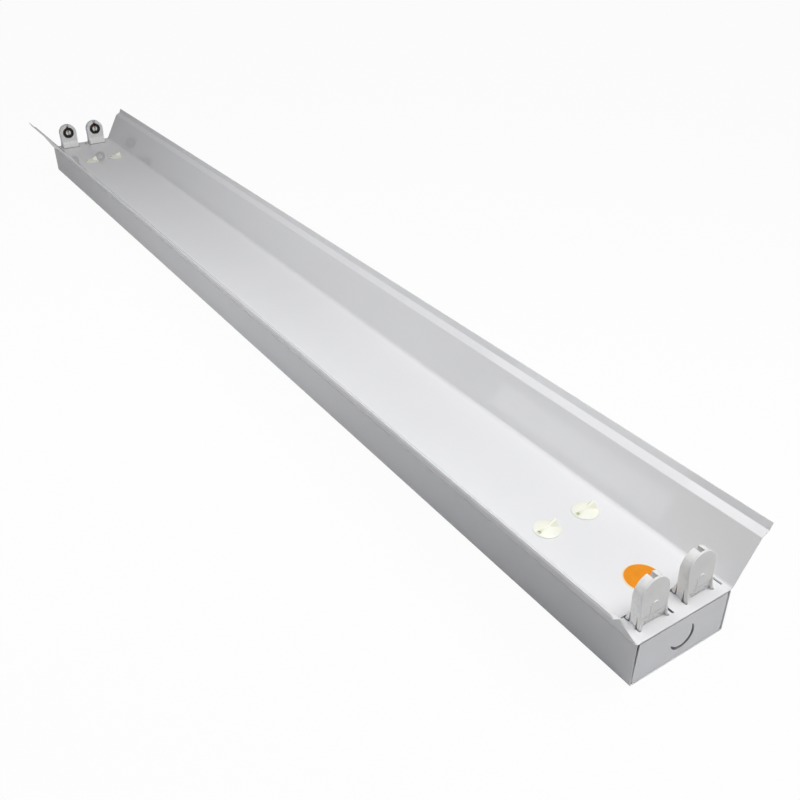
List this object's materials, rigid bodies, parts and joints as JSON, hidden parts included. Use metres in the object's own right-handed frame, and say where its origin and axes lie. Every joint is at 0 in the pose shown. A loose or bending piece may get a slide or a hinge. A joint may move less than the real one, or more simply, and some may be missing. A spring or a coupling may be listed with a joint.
{
  "type": "led tube light fixture",
  "caption": "Twin tube ceiling batten with a sheet-steel housing, a lift-off flared reflector tray, pin lampholders with turning rotors, and quarter-turn knobs; made without tubes.",
  "frame": {"origin": "centre of the back mounting face, which lies against the ceiling in use and is down here", "axes": "+X along the tubes towards the labelled end, +Z out of the lamp side, +Y across"},
  "size_m": [1.236, 0.1432, 0.0785],
  "materials": {
    "housing_enamel": "gloss powder coat",
    "reflector_enamel": "high gloss powder coat",
    "zinc_sheet": "zinc plated, satin",
    "zinc_washer": "zinc plated, satin",
    "bush_rubber": "matte",
    "earth_brass": "satin",
    "holder_shell": "satin, moulded",
    "holder_cover": "satin, moulded",
    "rotor_black": "satin, moulded",
    "contact_bronze": "bright rolled strip",
    "knob_cream": "translucent, moulded",
    "label_orange": "printed film",
    "block_plastic": "moulded",
    "screw_brass": "nickelled brass, bright",
    "wire_brown": "soft insulation",
    "wire_blue": "soft insulation",
    "wire_green_yellow": "soft insulation",
    "clip_nylon": "moulded"
  },
  "bodies": {
    "housing": {"housing_channel": "housing_enamel", "end_plate_near": "housing_enamel", "end_plate_far": "housing_enamel", "bracket_near": "zinc_sheet", "bracket_far": "zinc_sheet", "cable_bush": "bush_rubber", "housing_earth_stud": "earth_brass"},
    "reflector_tray": {"reflector": "reflector_enamel", "holder_body_near_left": "holder_shell", "holder_body_near_right": "holder_shell", "holder_body_far_left": "holder_shell", "holder_body_far_right": "holder_shell", "holder_cover_near_left": "holder_cover", "holder_cover_near_right": "holder_cover", "holder_cover_far_left": "holder_cover", "holder_cover_far_right": "holder_cover", "contacts_near_left": "contact_bronze", "contacts_near_right": "contact_bronze", "contacts_far_left": "contact_bronze", "contacts_far_right": "contact_bronze", "knob_retainers": "zinc_washer", "round_label": "label_orange", "terminal_block": "block_plastic", "terminal_screws": "screw_brass", "live_wires": "wire_brown", "neutral_wires": "wire_blue", "earth_wire": "wire_green_yellow", "wire_clips": "clip_nylon", "tray_earth_stud": "earth_brass"},
    "knob_near_left": {"knob_near_left": "knob_cream"},
    "rotor_near_left": {"rotor_near_left": "rotor_black"},
    "knob_near_right": {"knob_near_right": "knob_cream"},
    "rotor_near_right": {"rotor_near_right": "rotor_black"},
    "knob_far_left": {"knob_far_left": "knob_cream"},
    "rotor_far_left": {"rotor_far_left": "rotor_black"},
    "knob_far_right": {"knob_far_right": "knob_cream"},
    "rotor_far_right": {"rotor_far_right": "rotor_black"}
  },
  "joints": [
    {"name": "tray_lift", "type": "slide", "parent": "housing", "child": "reflector_tray", "axis": [0, 0, 1], "range_m": [0, 0.06]},
    {"name": "knob_turn_near_left", "type": "hinge", "parent": "reflector_tray", "child": "knob_near_left", "pos_m": [0.507, -0.0163, 0.0365], "axis": [0, 0, 1], "range_deg": [0, 90]},
    {"name": "knob_turn_near_right", "type": "hinge", "parent": "reflector_tray", "child": "knob_near_right", "pos_m": [0.507, 0.0197, 0.0365], "axis": [0, 0, 1], "range_deg": [0, 90]},
    {"name": "knob_turn_far_left", "type": "hinge", "parent": "reflector_tray", "child": "knob_far_left", "pos_m": [-0.513, -0.0163, 0.0365], "axis": [0, 0, 1], "range_deg": [0, 90]},
    {"name": "knob_turn_far_right", "type": "hinge", "parent": "reflector_tray", "child": "knob_far_right", "pos_m": [-0.513, 0.0197, 0.0365], "axis": [0, 0, 1], "range_deg": [0, 90]},
    {"name": "rotor_turn_near_left", "type": "hinge", "parent": "reflector_tray", "child": "rotor_near_left", "pos_m": [0.6022, -0.0207, 0.0587], "axis": [1, 0, 0], "range_deg": [-90, 90]},
    {"name": "rotor_turn_near_right", "type": "hinge", "parent": "reflector_tray", "child": "rotor_near_right", "pos_m": [0.6022, 0.0207, 0.0587], "axis": [1, 0, 0], "range_deg": [-90, 90]},
    {"name": "rotor_turn_far_left", "type": "hinge", "parent": "reflector_tray", "child": "rotor_far_left", "pos_m": [-0.6022, -0.0207, 0.0587], "axis": [1, 0, 0], "range_deg": [-90, 90]},
    {"name": "rotor_turn_far_right", "type": "hinge", "parent": "reflector_tray", "child": "rotor_far_right", "pos_m": [-0.6022, 0.0207, 0.0587], "axis": [1, 0, 0], "range_deg": [-90, 90]}
  ]
}
